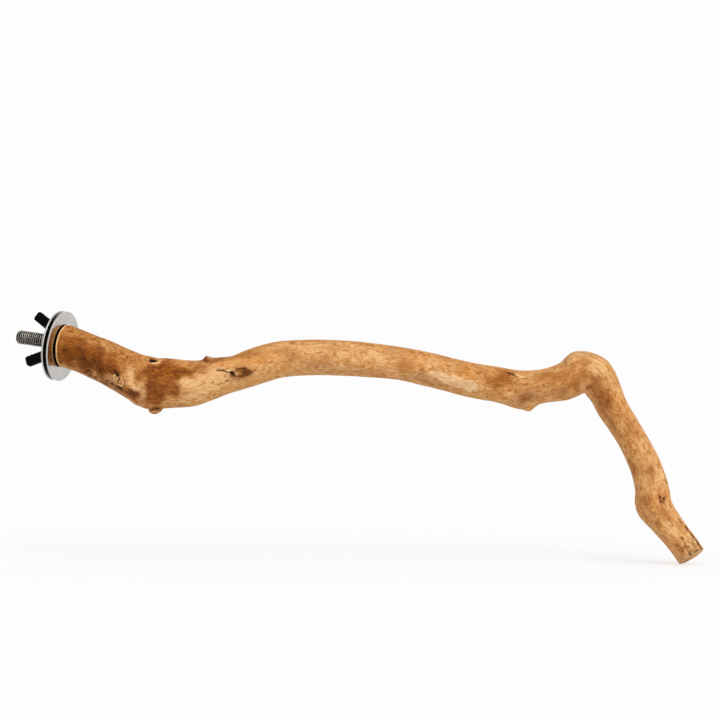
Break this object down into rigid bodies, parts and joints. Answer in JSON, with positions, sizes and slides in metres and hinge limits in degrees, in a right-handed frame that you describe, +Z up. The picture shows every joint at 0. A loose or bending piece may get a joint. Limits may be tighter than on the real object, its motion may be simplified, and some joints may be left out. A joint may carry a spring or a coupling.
{
  "type": "bird perch",
  "caption": "Crooked natural-branch bird perch with a threaded stud, wide clamp washers and a wing nut that grip a cage wall.",
  "frame": {"origin": "where the stud's axis crosses the inner washer's cage face", "axes": "-X points out through the cage wall along the stud, +X runs into the branch, +Z is up"},
  "size_m": [0.3948, 0.1056, 0.1104],
  "materials": {
    "peeled_wood": "peeled and sanded, unvarnished",
    "stud_steel": "rolled stainless thread",
    "washer_steel": "polished stainless",
    "black_nylon": "moulded black"
  },
  "bodies": {
    "perch": {"branch": "peeled_wood", "hanger_bolt": "stud_steel", "inner_washer": "washer_steel"},
    "clamp_washer": {"outer_washer": "washer_steel"},
    "nut": {"wing_nut": "black_nylon"}
  },
  "joints": [
    {"name": "washer_slide", "type": "slide", "parent": "perch", "child": "clamp_washer", "axis": [-1, 0, 0], "range_m": [-0.0019, 0.016]},
    {"name": "nut_turn", "type": "hinge", "parent": "clamp_washer", "child": "nut", "pos_m": [-0.0031, 0, 0], "axis": [-1, 0, 0], "range_deg": [-540, 4590]}
  ],
  "couplings": [
    {"joint": "washer_slide", "follows": "nut_turn", "m_per_rad": 0.00019894}
  ]
}
